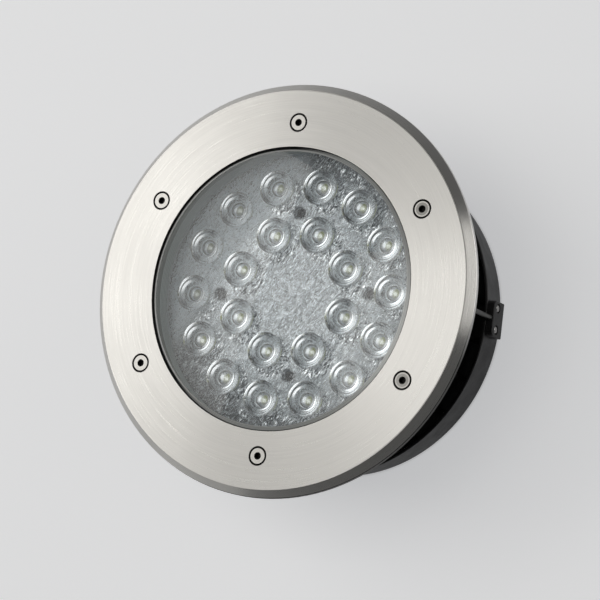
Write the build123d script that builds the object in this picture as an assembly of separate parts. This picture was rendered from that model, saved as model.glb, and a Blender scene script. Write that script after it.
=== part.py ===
from build123d import *
import os

# In ground well light: a round luminaire under a brushed trim ring, with a
# clamping sleeve that three long tie screws draw up from below.
# The foot stands at Z = 0, +Z is up through the glass, and angles count
# anticlockwise from +X as seen from above.  Millimetres and degrees.

os.makedirs("parts", exist_ok=True)

# Heights of the stack, from the foot upwards
foot_depth = 25.0           # recess under the rear cover, which hides the gland
rear_cover_thick = 4.0
rear_gasket_thick = 1.0
driver_clear = 0.5          # driver over the end of the gland's thread
platform_thick = 5.0        # heat-spreading floor under the light engine
chamber_depth = 17.0        # from the platform up to the glass seat
gasket_lip = 1.0            # rubber above and below the glass
glass_thick = 8.0
ring_sheet = 3.0            # sheet that the trim ring is pressed from

# Trim ring
ring_overhang = 12.0        # past the housing's flange
ring_cover = 5.8            # how far the ring reaches in over the glass
bevel_width = 4.15          # 45 degree bevel round the rim
ring_lip = 2.3              # upright edge below the bevel
ring_return = 1.1           # bare inner height of that edge
ring_edge_break = 0.35

# Trim ring screws, M5 countersunk with a hexagon socket
ring_screw_count = 6
ring_screw_outset = 2.1     # their circle outside the collar
ring_screw_r = 2.5
ring_screw_head_r = 4.9
ring_screw_length = 15.0
ring_screw_socket = 3.0     # across flats
ring_screw_socket_depth = 2.0
ring_screw_sunk = 0.1       # head below the ring's face
countersink_gap = 0.5       # dark line round each head

# Glass and its rubber
glass_r = 84.5
glass_edge_break = 0.6
gasket_side = 2.0
gasket_cover = 5.2          # how far the rubber reaches in over the glass

# Housing, die cast
flange_margin = 5.2         # outside the circle of the tie screws
flange_thick = 6.0
glass_seat_width = 6.1      # ledge under the glass and its rubber
collar_wall = 3.9           # outside the glass pocket
collar_drop = 8.0           # collar below the flange
collar_taper = 5.0
body_wall = 4.5             # outside the light chamber
foot_wall = 3.5
ledge_width = 12.0          # seat of the rear cover
ledge_thick = 4.0
fin_count = 24
fin_reach = 4.0
fin_thick = 2.4
fin_start = 6.0             # above the foot
ring_boss_r = 5.5
ring_boss_drop = 11.5
tie_boss_r = 5.0
tie_boss_drop = 4.0
blind_floor = 1.5           # metal left under a blind hole
platform_boss_r = 5.5
platform_boss_drop = 3.0

# Light engine
baffle_wall = 2.6
optic_thick = 2.5
optic_skirt = 3.0           # lifts the plate over the screws of the board
optic_skirt_width = 3.0
optic_turn = 2.8            # the whole pattern is turned by this much
outer_lens_count = 14
outer_lens_inset = 20.7     # outer circle of lenses inside the plate's edge
inner_lens_count = 8
lens_row_gap = 25.2         # from the outer circle to the inner one
lens_r = 10.0
lens_root_r = 9.1
lens_rise = 3.8             # rim above the plate
lens_dish_r = 7.2
lens_dish_floor_r = 4.3
lens_dish_depth = 2.4
led_pocket_r = 3.4
led_pocket_depth = 3.4
optic_screw_count = 4
optic_screw_inset = 15.0    # inside the outer circle of lenses
optic_screw_r = 1.5
optic_screw_head_r = 2.9
optic_screw_head = 1.9
optic_screw_bite = 3.4      # into the platform
board_thick = 1.6
pad_thick = 0.4
led_size = 3.5
led_height = 0.7
chip_size = 2.2
chip_height = 0.25

# Driver and terminal block
driver_length = 96.0
driver_width = 46.0
driver_height = 22.0
driver_ear = 9.0
driver_ear_thick = 3.0
driver_screw_r = 2.0
driver_screw_head_r = 3.8
driver_screw_head = 2.4
driver_screw_bite = 5.5
case_corner = 2.0
terminal_length = 30.0
terminal_width = 17.0
terminal_height = 13.0
terminal_ear = 8.0
terminal_ear_thick = 3.0
terminal_offset = 40.0
terminal_ways = 3
terminal_spacing = 9.0
terminal_entry = 5.0
terminal_screw_r = 1.5
terminal_screw_head_r = 2.6
terminal_screw_head = 1.6
terminal_screw_bite = 2.8

# Rear cover, its screws and the parts that pass through it
cover_screw_count = 6
cover_screw_r = 2.0
cover_screw_head_r = 3.9
cover_screw_head = 2.6
cover_screw_length = 15.0
cover_boss_r = 5.6
cover_boss_height = 12.0
cover_edge_break = 0.6
thread_end = 1.5            # thread that shows past a nut or a wall
gland_thread_r = 10.0
gland_bore_r = 6.6
gland_hex = 26.0            # across flats
gland_hex_thick = 4.5
gland_washer_thick = 1.5
gland_neck = 8.0
gland_neck_r = 9.0
gland_nut_thick = 5.0
gland_cap_hex = 24.0        # across flats
gland_cap_length = 12.0
gland_cap_floor = 2.5
gland_cap_bore_r = 5.2
cable_r = 4.0               # cable that the seal grips
gland_seal_length = 10.0
vent_pcd_r = 42.0
vent_angle = 90.0
vent_r = 6.0
vent_hex = 17.0
vent_hex_thick = 4.0
vent_cap_r = 6.5
vent_cap_height = 3.0

# Clamping sleeve, its lugs and tie screws
sleeve_taper = 3.2          # smaller at the foot by this much
sleeve_height = 27.5
sleeve_wall = 1.6
sleeve_lift = 0.5           # clear of the ground that the foot stands on
sleeve_edge_break = 0.5
lug_count = 3
lug_first_angle = -90.0
lug_width = 20.0
lug_height = 14.0
lug_web = 0.6               # outside the tie screw's hole
lug_corner = 2.8
lug_edge_break = 0.4
lug_screw_gap = 12.0
lug_screw_drop = 5.8
lug_screw_r = 1.25
lug_screw_head_r = 2.1
lug_screw_head = 1.3
lug_screw_sunk = 0.2
lug_screw_tip = 0.8         # past the sleeve's inner face
lug_counterbore_r = 2.7
tie_outset = 7.3            # their circle outside the collar
tie_clear = 0.5             # outside the sleeve
tie_r = 1.4
tie_head_r = 2.75
tie_head = 2.0
tie_pocket_depth = 4.0
tie_socket = 2.5            # across flats
tie_end_inset = 1.0         # tip inside the lug's lower face
tie_clip_r = 3.0
tie_clip_thick = 0.6

# Clearances
thread_gap = 0.05           # screw in its own hole
slip_gap = 0.1              # parts that turn or slide against each other
seat_gap = 0.15             # curved faces that sit together
loose_gap = 0.3             # parts dropped into a recess
hole_gap = 0.3              # clearance hole round a screw

# Levels worked out from the stack
cover_low = foot_depth
cover_top = cover_low + rear_cover_thick
ledge_low = cover_top + rear_gasket_thick
driver_low = cover_top + gland_nut_thick + thread_end + driver_clear
driver_seat = driver_low + driver_height
cavity_top = driver_seat + platform_boss_drop
platform_top = cavity_top + platform_thick
glass_seat = platform_top + chamber_depth
glass_low = glass_seat + gasket_lip
glass_top = glass_low + glass_thick
flange_top = glass_top + gasket_lip
ring_top = flange_top + ring_sheet
flange_low = flange_top - flange_thick
board_low = platform_top + pad_thick
board_top = board_low + board_thick
optic_low = board_top + optic_skirt
optic_top = optic_low + optic_thick
sleeve_top = sleeve_lift + sleeve_height
lug_low = sleeve_top - lug_height
tie_seat = flange_top - tie_pocket_depth
lug_screw_level = sleeve_top - lug_screw_drop
gland_cap_top = cover_low - gland_washer_thick - gland_hex_thick - loose_gap

# Radii worked out from what they fit
gasket_r = glass_r + gasket_side
pocket_r = gasket_r + slip_gap
collar_r = pocket_r + collar_wall
chamber_r = pocket_r - glass_seat_width
body_r = chamber_r + body_wall
fin_r = body_r + fin_reach
foot_bore_r = body_r - foot_wall
ledge_r = foot_bore_r - ledge_width
optic_r = chamber_r - loose_gap
board_r = optic_r - loose_gap
cover_r = foot_bore_r - loose_gap
cover_screw_pcd_r = (foot_bore_r + ledge_r) / 2
ring_screw_pcd_r = collar_r + ring_screw_outset
tie_pcd_r = collar_r + tie_outset
flange_r = tie_pcd_r + flange_margin
ring_r = flange_r + ring_overhang
aperture_r = glass_r - ring_cover
sleeve_top_r = tie_pcd_r - tie_r - tie_clear
sleeve_foot_r = sleeve_top_r - sleeve_taper
lug_face_r = tie_pcd_r + tie_r + slip_gap + lug_web
outer_lens_pcd_r = optic_r - outer_lens_inset
inner_lens_pcd_r = outer_lens_pcd_r - lens_row_gap
optic_screw_pcd_r = outer_lens_pcd_r - optic_screw_inset

UP = (Align.CENTER, Align.CENTER, Align.MIN)
OVERSHOOT = 1.0             # how far cutters run past a face


def disc(radius, low, high):
    """A plain disc between two heights."""
    return Pos(0, 0, low) * Cylinder(radius, high - low, align=UP)


def tube(outer_r, inner_r, low, high):
    """A plain ring between two heights."""
    return disc(outer_r, low, high) - disc(inner_r, low - OVERSHOOT, high + OVERSHOOT)


def turned(*points):
    """A solid of revolution from pairs of radius and height."""
    outline = Polyline(*[(radius, 0, height) for radius, height in points], close=True)
    return revolve(make_face(outline), Axis.Z)


def hexagon(across_flats, low, high):
    """A hexagonal bar between two heights."""
    flat = RegularPolygon(across_flats / 2, 6, major_radius=False)
    return extrude(Pos(0, 0, low) * flat, high - low)


def around(count, first=0.0):
    """Evenly spaced angles."""
    return [first + index * 360 / count for index in range(count)]


def place(radius, angle, solid):
    """The solid moved out along +X and turned to an angle."""
    return Rot(0, 0, angle) * Pos(radius, 0, 0) * solid


def ring_of(count, radius, solid, first=0.0):
    """Copies of one solid on a circle."""
    return [place(radius, angle, solid) for angle in around(count, first)]


def cut(body, cutters):
    """The body less every cutter in a list."""
    for cutter in cutters:
        body = body - cutter
    return body


def fuse(body, pieces):
    """The body joined with every piece in a list."""
    for piece in pieces:
        body = body + piece
    return body


def pan_screw(shank_r, head_r, head, length, seat):
    """A pan head screw whose head stands above its seat and shank goes down."""
    crown = disc(head_r, seat, seat + head)
    crown = chamfer(crown.edges().group_by(Axis.Z)[-1], head / 3)
    return crown + disc(shank_r, seat - length, seat)


def lens_angles():
    """Each lens as its circle's radius and its angle."""
    outer = [(outer_lens_pcd_r, optic_turn + (index + 0.5) * 360 / outer_lens_count)
             for index in range(outer_lens_count)]
    inner = [(inner_lens_pcd_r, optic_turn + (index + 0.5) * 360 / inner_lens_count)
             for index in range(inner_lens_count)]
    return outer + inner


def trim_ring():
    """Pressed ring with a bevelled rim and countersunk screw holes."""
    bevel_low = ring_top - bevel_width
    rim_low = bevel_low - ring_lip
    inner_r = ring_r - ring_sheet
    inner_bevel_low = rim_low + ring_return
    inner_bevel_r = inner_r - (flange_top - inner_bevel_low)
    ring = turned(
        (aperture_r, flange_top),
        (aperture_r, ring_top - ring_edge_break),
        (aperture_r + ring_edge_break, ring_top),
        (ring_r - bevel_width, ring_top),
        (ring_r, bevel_low),
        (ring_r, rim_low),
        (inner_r, rim_low),
        (inner_r, inner_bevel_low),
        (inner_bevel_r, flange_top))
    hole_r = ring_screw_r + hole_gap
    mouth_r = ring_screw_head_r + countersink_gap
    cone_depth = min(mouth_r - hole_r, ring_sheet)
    cutter = disc(hole_r, flange_top - OVERSHOOT, ring_top)
    cone = turned(
        (0, ring_top - cone_depth),
        (mouth_r - cone_depth, ring_top - cone_depth),
        (mouth_r + OVERSHOOT, ring_top + OVERSHOOT),
        (0, ring_top + OVERSHOOT))
    return cut(ring, ring_of(ring_screw_count, ring_screw_pcd_r, cutter + cone))


def ring_screw():
    """One countersunk screw with a hexagon socket."""
    top = ring_top - ring_screw_sunk
    cone_low = top - (ring_screw_head_r - ring_screw_r)
    screw = turned(
        (0, cone_low - ring_screw_length),
        (ring_screw_r, cone_low - ring_screw_length),
        (ring_screw_r, cone_low),
        (ring_screw_head_r, top),
        (0, top))
    return screw - hexagon(ring_screw_socket, top - ring_screw_socket_depth, top + OVERSHOOT)


def glass_lens():
    """Toughened glass disc with ground edges."""
    glass = disc(glass_r, glass_low, glass_top)
    return chamfer(glass.edges().filter_by(GeomType.CIRCLE), glass_edge_break)


def glass_gasket():
    """Channel of rubber that holds the edge of the glass."""
    lip_r = glass_r - gasket_cover
    groove_r = glass_r + seat_gap
    return turned(
        (lip_r, glass_seat),
        (gasket_r, glass_seat),
        (gasket_r, flange_top),
        (lip_r, flange_top),
        (lip_r, glass_top),
        (groove_r, glass_top),
        (groove_r, glass_low),
        (lip_r, glass_low))


def housing_shell():
    """The turned body: foot, chambers, collar and flange."""
    collar_low = flange_low - collar_drop
    taper_low = collar_low - collar_taper
    return turned(
        (foot_bore_r, 0),
        (body_r, 0),
        (body_r, taper_low),
        (collar_r, collar_low),
        (collar_r, flange_low),
        (flange_r, flange_low),
        (flange_r, flange_top),
        (pocket_r, flange_top),
        (pocket_r, glass_seat),
        (chamber_r, glass_seat),
        (chamber_r, platform_top),
        (0, platform_top),
        (0, cavity_top),
        (chamber_r, cavity_top),
        (chamber_r, ledge_low + ledge_thick),
        (ledge_r, ledge_low + ledge_thick),
        (ledge_r, ledge_low),
        (foot_bore_r, ledge_low))


def cooling_fin():
    """One upright fin with a sloped foot."""
    root_r = body_r - OVERSHOOT
    fin_top = flange_low - collar_drop
    outline = Polyline(
        (root_r, 0, fin_start),
        (body_r, 0, fin_start),
        (fin_r, 0, fin_start + fin_reach),
        (fin_r, 0, fin_top),
        (root_r, 0, fin_top),
        close=True)
    return extrude(make_face(outline), fin_thick / 2, both=True)


def housing():
    """Die cast housing with fins, screw bosses and both chambers."""
    body = housing_shell()
    body = fuse(body, ring_of(fin_count, 0, cooling_fin(), 360 / fin_count / 2))
    ring_boss = disc(ring_boss_r, flange_low - ring_boss_drop, flange_low)
    tie_boss = disc(tie_boss_r, flange_low - tie_boss_drop, flange_low)
    cover_boss = disc(cover_boss_r, ledge_low, ledge_low + cover_boss_height)
    platform_boss = disc(platform_boss_r, driver_seat, cavity_top)
    body = fuse(body, ring_of(ring_screw_count, ring_screw_pcd_r, ring_boss))
    body = fuse(body, ring_of(lug_count, tie_pcd_r, tie_boss, lug_first_angle))
    body = fuse(body, ring_of(cover_screw_count, cover_screw_pcd_r, cover_boss))
    body = fuse(body, ring_of(2, (driver_length + driver_ear) / 2, platform_boss))
    ring_hole = disc(ring_screw_r + thread_gap,
                     flange_low - ring_boss_drop + blind_floor, flange_top + OVERSHOOT)
    tie_hole = disc(tie_r + slip_gap, flange_low - tie_boss_drop - OVERSHOOT, flange_top)
    tie_pocket = disc(tie_head_r + 2 * loose_gap, tie_seat, flange_top + OVERSHOOT)
    cover_hole = disc(cover_screw_r + thread_gap, ledge_low - OVERSHOOT,
                      ledge_low + cover_boss_height - blind_floor)
    optic_hole = disc(optic_screw_r + thread_gap,
                      platform_top - optic_screw_bite - loose_gap, platform_top + OVERSHOOT)
    driver_hole = disc(driver_screw_r + thread_gap, driver_seat - OVERSHOOT,
                       driver_seat + driver_screw_bite + loose_gap)
    body = cut(body, ring_of(ring_screw_count, ring_screw_pcd_r, ring_hole))
    body = cut(body, ring_of(lug_count, tie_pcd_r, tie_hole + tie_pocket, lug_first_angle))
    body = cut(body, ring_of(cover_screw_count, cover_screw_pcd_r, cover_hole))
    body = cut(body, ring_of(optic_screw_count, optic_screw_pcd_r, optic_hole, optic_turn))
    return cut(body, ring_of(2, (driver_length + driver_ear) / 2, driver_hole))


def baffle_ring():
    """Liner between the optic plate and the glass, which holds the plate down."""
    return tube(optic_r, optic_r - baffle_wall, optic_top, glass_seat)


def lens_body():
    """One lens standing on the plate: a flared cup with a dished middle."""
    rim_top = optic_top + lens_rise
    return turned(
        (0, optic_low),
        (lens_root_r, optic_low),
        (lens_root_r, optic_top),
        (lens_r, rim_top),
        (lens_dish_r, rim_top),
        (lens_dish_floor_r, rim_top - lens_dish_depth),
        (0, rim_top - lens_dish_depth))


def led_pocket():
    """Pocket under a lens, round its light source."""
    return disc(led_pocket_r, optic_low - OVERSHOOT, optic_low + led_pocket_depth)


def optic_plate():
    """One clear moulding with every lens and its rim skirt."""
    plate = disc(optic_r, optic_low, optic_top)
    plate = plate + tube(optic_r, optic_r - optic_skirt_width, board_top, optic_low)
    plate = fuse(plate, [place(radius, angle, lens_body()) for radius, angle in lens_angles()])
    return cut(plate, [place(radius, angle, led_pocket()) for radius, angle in lens_angles()])


def optic_screws():
    """The four screws under the optic plate, which hold the light board down."""
    length = board_top - platform_top + optic_screw_bite
    screw = pan_screw(optic_screw_r, optic_screw_head_r, optic_screw_head, length, board_top)
    return ring_of(optic_screw_count, optic_screw_pcd_r, screw, optic_turn)


def drilled_disc(radius, low, high):
    """A disc with the clearance holes of the optic screws."""
    hole = disc(optic_screw_r + hole_gap, low - OVERSHOOT, high + OVERSHOOT)
    holes = ring_of(optic_screw_count, optic_screw_pcd_r, hole, optic_turn)
    return cut(disc(radius, low, high), holes)


def led_packages():
    """The white body of each light source."""
    package = Pos(0, 0, board_top) * Box(led_size, led_size, led_height, align=UP)
    return [place(radius, angle, package) for radius, angle in lens_angles()]


def led_chips():
    """The yellow phosphor square on each light source."""
    chip = Pos(0, 0, board_top + led_height) * Box(chip_size, chip_size, chip_height, align=UP)
    return [place(radius, angle, chip) for radius, angle in lens_angles()]


def eared_block(length, width, height, ear, ear_thick, hole_r):
    """A block on its mounting face, with a drilled ear at each end."""
    block = Box(length, width, height, align=UP)
    block = fillet(block.edges().filter_by(Axis.Z), case_corner)
    ears = Box(length + 2 * ear, width / 2, ear_thick, align=UP)
    hole = disc(hole_r, -OVERSHOOT, ear_thick + OVERSHOOT)
    return cut(block + ears, ring_of(2, (length + ear) / 2, hole))


def driver_case():
    """Potted driver that hangs under the platform by its ears."""
    case = eared_block(driver_length, driver_width, driver_height,
                       driver_ear, driver_ear_thick, driver_screw_r + hole_gap)
    return Pos(0, 0, driver_seat) * Rot(180, 0, 0) * case


def driver_screws():
    """The two screws through the driver's ears, driven from below."""
    length = driver_ear_thick + driver_screw_bite
    screw = pan_screw(driver_screw_r, driver_screw_head_r, driver_screw_head, length, 0)
    screw = Pos(0, 0, driver_seat - driver_ear_thick) * Rot(180, 0, 0) * screw
    return ring_of(2, (driver_length + driver_ear) / 2, screw)


def terminal_block():
    """Terminal block on the inside of the rear cover."""
    block = eared_block(terminal_length, terminal_width, terminal_height,
                        terminal_ear, terminal_ear_thick, terminal_screw_r + hole_gap)
    for way in range(terminal_ways):
        along = (way - (terminal_ways - 1) / 2) * terminal_spacing
        entry = Pos(along, 0, terminal_height / 2) * Box(terminal_entry, 2 * terminal_width,
                                                         terminal_entry)
        block = block - entry
    return Pos(0, -terminal_offset, cover_top) * block


def terminal_screws():
    """The two screws that hold the terminal block."""
    length = terminal_ear_thick + terminal_screw_bite
    screw = pan_screw(terminal_screw_r, terminal_screw_head_r, terminal_screw_head,
                      length, cover_top + terminal_ear_thick)
    pair = ring_of(2, (terminal_length + terminal_ear) / 2, screw)
    return [Pos(0, -terminal_offset, 0) * each for each in pair]


def rear_cover():
    """Round plate that closes the driver chamber from below."""
    cover = disc(cover_r, cover_low, cover_top)
    cover = chamfer(cover.edges().group_by(Axis.Z)[0], cover_edge_break)
    cover_hole = disc(cover_screw_r + hole_gap, cover_low - OVERSHOOT, cover_top + OVERSHOOT)
    gland_hole = disc(gland_thread_r + seat_gap, cover_low - OVERSHOOT, cover_top + OVERSHOOT)
    vent_hole = disc(vent_r + seat_gap, cover_low - OVERSHOOT, cover_top + OVERSHOOT)
    terminal_hole = disc(terminal_screw_r + thread_gap,
                         cover_top - terminal_screw_bite - loose_gap, cover_top + OVERSHOOT)
    cover = cut(cover, ring_of(cover_screw_count, cover_screw_pcd_r, cover_hole))
    cover = cover - gland_hole - place(vent_pcd_r, vent_angle, vent_hole)
    holes = ring_of(2, (terminal_length + terminal_ear) / 2, terminal_hole)
    return cut(cover, [Pos(0, -terminal_offset, 0) * hole for hole in holes])


def rear_cover_gasket():
    """Flat gasket between the rear cover and its ledge."""
    hole = disc(cover_screw_r + hole_gap, cover_top - OVERSHOOT, ledge_low + OVERSHOOT)
    gasket = tube(cover_r, ledge_r, cover_top, ledge_low)
    return cut(gasket, ring_of(cover_screw_count, cover_screw_pcd_r, hole))


def rear_cover_screws():
    """The screws of the rear cover, with their heads underneath."""
    screw = pan_screw(cover_screw_r, cover_screw_head_r, cover_screw_head,
                      cover_screw_length, 0)
    screw = Pos(0, 0, cover_low) * Rot(180, 0, 0) * screw
    return ring_of(cover_screw_count, cover_screw_pcd_r, screw)


def gland_body():
    """Gland body with a hexagon, a neck below it and a thread through the cover."""
    hex_top = cover_low - gland_washer_thick
    hex_low = hex_top - gland_hex_thick
    body = hexagon(gland_hex, hex_low, hex_top)
    body = body + disc(gland_thread_r, hex_low, cover_top + gland_nut_thick + thread_end)
    body = body + disc(gland_neck_r, hex_low - gland_neck, hex_low)
    return body - disc(gland_bore_r, hex_low - gland_neck - OVERSHOOT, cavity_top)


def gland_washer():
    """Sealing washer between the gland and the cover."""
    return tube(gland_hex / 2, gland_thread_r + seat_gap, cover_low - gland_washer_thick, cover_low)


def gland_locknut():
    """Locknut on the gland's thread, inside the driver chamber."""
    nut_top = cover_top + gland_nut_thick
    bore = disc(gland_thread_r + thread_gap, cover_top - OVERSHOOT, nut_top + OVERSHOOT)
    return hexagon(gland_hex, cover_top, nut_top) - bore


def gland_cap():
    """Dome nut that squeezes the seal on to the cable."""
    cap_low = gland_cap_top - gland_cap_length
    cap = hexagon(gland_cap_hex, cap_low, gland_cap_top)
    limit = turned(
        (0, cap_low),
        (gland_neck_r, cap_low),
        (gland_cap_hex, cap_low + gland_cap_hex - gland_neck_r),
        (gland_cap_hex, gland_cap_top),
        (0, gland_cap_top))
    cap = cap & limit
    cap = cap - disc(gland_neck_r + thread_gap, cap_low + gland_cap_floor, gland_cap_top + OVERSHOOT)
    return cap - disc(gland_cap_bore_r, cap_low - OVERSHOOT, gland_cap_top)


def gland_seal():
    """Rubber sleeve that grips the cable."""
    seal_low = gland_cap_top - gland_cap_length + gland_cap_floor
    return tube(gland_bore_r - slip_gap, cable_r, seal_low, seal_low + gland_seal_length)


def vent_plug():
    """Breather plug that lets the chamber equalise without letting water in."""
    hex_low = cover_low - vent_hex_thick
    plug = hexagon(vent_hex, hex_low, cover_low)
    plug = plug + disc(vent_r, hex_low, cover_top + thread_end)
    dome = disc(vent_cap_r, hex_low - vent_cap_height, hex_low)
    dome = chamfer(dome.edges().group_by(Axis.Z)[0], vent_cap_height / 3)
    return place(vent_pcd_r, vent_angle, plug + dome)


def sleeve_radius(height):
    """Outer radius of the tapered sleeve at a height."""
    slope = (sleeve_top_r - sleeve_foot_r) / sleeve_height
    return sleeve_foot_r + slope * (height - sleeve_lift)


def sleeve_cone(offset, low, high):
    """The solid cone of the sleeve's outer face, moved out by an offset."""
    return turned(
        (0, low),
        (sleeve_radius(low) + offset, low),
        (sleeve_radius(high) + offset, high),
        (0, high))


def lug_screw_places():
    """Where each lug's two screws lie, across the lug."""
    return [-lug_screw_gap / 2, lug_screw_gap / 2]


def mounting_sleeve():
    """Tapered hoop that clamps the paving from below."""
    sleeve = sleeve_cone(0, sleeve_lift, sleeve_top)
    sleeve = chamfer(sleeve.edges().filter_by(GeomType.CIRCLE), sleeve_edge_break)
    bore_low = sleeve_lift - OVERSHOOT
    sleeve = sleeve - sleeve_cone(-sleeve_wall, bore_low, sleeve_top + OVERSHOOT)
    for across in lug_screw_places():
        hole = Cylinder(lug_screw_r + thread_gap, 2 * lug_height)
        hole = Pos(sleeve_top_r, across, lug_screw_level) * Rot(0, 90, 0) * hole
        sleeve = cut(sleeve, ring_of(lug_count, 0, hole, lug_first_angle))
    return sleeve


def sleeve_lug():
    """Lug at +X, seated on the tapered sleeve, with the tie screw's thread."""
    depth = lug_face_r - sleeve_foot_r + sleeve_wall
    centre = (sleeve_top + lug_low) / 2
    lug = Pos(lug_face_r, 0, centre) * Box(depth, lug_width, lug_height,
                                           align=(Align.MAX, Align.CENTER, Align.CENTER))
    lug = fillet(lug.edges().filter_by(Axis.X).group_by(Axis.Z)[-1], lug_corner)
    lug = chamfer(lug.faces().sort_by(Axis.X)[-1].edges(), lug_edge_break)
    lug = lug - sleeve_cone(seat_gap, lug_low - OVERSHOOT, sleeve_top + OVERSHOOT)
    tie_hole = disc(tie_r + slip_gap, lug_low - OVERSHOOT, sleeve_top + OVERSHOOT)
    lug = lug - Pos(tie_pcd_r, 0, 0) * tie_hole
    seat = lug_face_r - lug_screw_sunk - lug_screw_head
    for across in lug_screw_places():
        hole = Cylinder(lug_screw_r + hole_gap / 2, 2 * depth)
        recess = Pos(0, 0, seat) * Cylinder(lug_counterbore_r, depth, align=UP)
        lug = lug - Pos(0, across, lug_screw_level) * Rot(0, 90, 0) * recess
        lug = lug - Pos(seat, across, lug_screw_level) * Rot(0, 90, 0) * hole
    return lug


def lug_screws():
    """The pairs of screws that hold the lugs to the sleeve."""
    seat = lug_face_r - lug_screw_sunk - lug_screw_head
    length = seat - sleeve_radius(lug_screw_level) + sleeve_wall + lug_screw_tip
    screw = pan_screw(lug_screw_r, lug_screw_head_r, lug_screw_head, length, seat)
    screws = []
    for across in lug_screw_places():
        level = Pos(0, across, lug_screw_level) * Rot(0, 90, 0) * screw
        screws += ring_of(lug_count, 0, level, lug_first_angle)
    return screws


def tie_screw():
    """Long tie screw at +X, its head in the flange and its tip in the lug."""
    seat = tie_seat + slip_gap
    tip = lug_low + tie_end_inset
    screw = disc(tie_head_r, seat, seat + tie_head)
    screw = chamfer(screw.edges().group_by(Axis.Z)[-1], tie_head / 4)
    screw = screw + disc(tie_r, tip, seat)
    screw = screw - hexagon(tie_socket, seat + tie_head / 3, seat + tie_head + OVERSHOOT)
    return Pos(tie_pcd_r, 0, 0) * screw


def tie_clip():
    """Spring clip under the flange boss that keeps the tie screw captive."""
    top = flange_low - tie_boss_drop - slip_gap
    clip = tube(tie_clip_r, tie_r + thread_gap, top - tie_clip_thick, top)
    mouth = Pos(0, 0, top) * Box(2 * tie_clip_r, tie_r, 2 * tie_clip_thick + OVERSHOOT,
                                 align=(Align.MIN, Align.CENTER, Align.CENTER))
    return Pos(tie_pcd_r, 0, 0) * (clip - mouth)


def write(name, *solids):
    """One file for each node."""
    shape = solids[0] if len(solids) == 1 else Compound(children=list(solids))
    export_step(shape, f"parts/{name}.step")


write("trim_ring", trim_ring())
write("trim_ring_screws", *ring_of(ring_screw_count, ring_screw_pcd_r, ring_screw()))
write("glass_lens", glass_lens())
write("glass_gasket", glass_gasket())
write("housing", housing())
write("baffle_ring", baffle_ring())
write("optic_plate", optic_plate())
write("optic_screws", *optic_screws())
write("led_board", drilled_disc(board_r, board_low, board_top))
write("thermal_pad", drilled_disc(board_r, platform_top, board_low))
write("led_packages", *led_packages())
write("led_chips", *led_chips())
write("driver_case", driver_case())
write("driver_screws", *driver_screws())
write("terminal_block", terminal_block())
write("terminal_screws", *terminal_screws())
write("rear_cover", rear_cover())
write("rear_cover_gasket", rear_cover_gasket())
write("rear_cover_screws", *rear_cover_screws())
write("gland_body", gland_body())
write("gland_washer", gland_washer())
write("gland_locknut", gland_locknut())
write("gland_cap", gland_cap())
write("gland_seal", gland_seal())
write("vent_plug", vent_plug())
write("mounting_sleeve", mounting_sleeve())
write("lug_screws", *lug_screws())
for number, angle in enumerate(around(lug_count, lug_first_angle), start=1):
    write(f"sleeve_lug_{number}", place(0, angle, sleeve_lug()))
    write(f"tie_screw_{number}", place(0, angle, tie_screw()))
    write(f"tie_clip_{number}", place(0, angle, tie_clip()))
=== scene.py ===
import bmesh
import bpy
import math
from mathutils import Euler, Matrix, Vector
from mathutils.geometry import delaunay_2d_cdt


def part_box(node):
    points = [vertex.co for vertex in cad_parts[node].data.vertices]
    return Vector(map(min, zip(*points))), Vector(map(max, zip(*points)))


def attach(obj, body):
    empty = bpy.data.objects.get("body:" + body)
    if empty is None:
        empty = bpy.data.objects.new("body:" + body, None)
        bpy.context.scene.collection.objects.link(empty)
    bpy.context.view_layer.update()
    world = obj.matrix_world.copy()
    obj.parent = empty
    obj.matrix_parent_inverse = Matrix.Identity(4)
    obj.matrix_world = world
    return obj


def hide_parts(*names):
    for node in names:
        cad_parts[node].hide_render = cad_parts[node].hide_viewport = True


# In ground well light: finishes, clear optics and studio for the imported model.
# Metres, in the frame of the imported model, with +Z up through the glass.

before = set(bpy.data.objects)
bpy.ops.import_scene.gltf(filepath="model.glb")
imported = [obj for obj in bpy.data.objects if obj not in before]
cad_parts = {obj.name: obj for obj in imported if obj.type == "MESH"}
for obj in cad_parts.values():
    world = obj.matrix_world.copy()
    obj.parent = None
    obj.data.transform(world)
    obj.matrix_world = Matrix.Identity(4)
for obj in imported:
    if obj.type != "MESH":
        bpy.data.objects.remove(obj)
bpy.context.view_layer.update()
MM = 0.001
AXIS = Vector((0, 0, 1))

# ---------------------------------------------------------------- sizes

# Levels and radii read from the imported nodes
plate_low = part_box("optic_plate")[0][2]
lens_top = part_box("optic_plate")[1][2]
plate_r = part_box("optic_plate")[1][0]
board_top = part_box("led_board")[1][2]
ring_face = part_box("trim_ring")[1][2]
RING_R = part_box("trim_ring")[1][0]
SLEEVE_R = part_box("mounting_sleeve")[1][0]
glass_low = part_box("glass_lens")[0][2]
glass_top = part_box("glass_lens")[1][2]
glass_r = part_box("glass_lens")[1][0]

# The moulded optic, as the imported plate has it
SKIRT = 3.0 * MM
PLATE_THICK = 2.5 * MM
SKIRT_WIDTH = 3.0 * MM
PATTERN_TURN = math.radians(2.8)
LENS_ROWS = ((14, 59.5 * MM), (8, 34.3 * MM))
ROUND_STEPS = 48            # sides of each lens
RIM_STEPS = 144             # sides of the plate
plate_under = plate_low + SKIRT
plate_top = plate_under + PLATE_THICK

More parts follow.
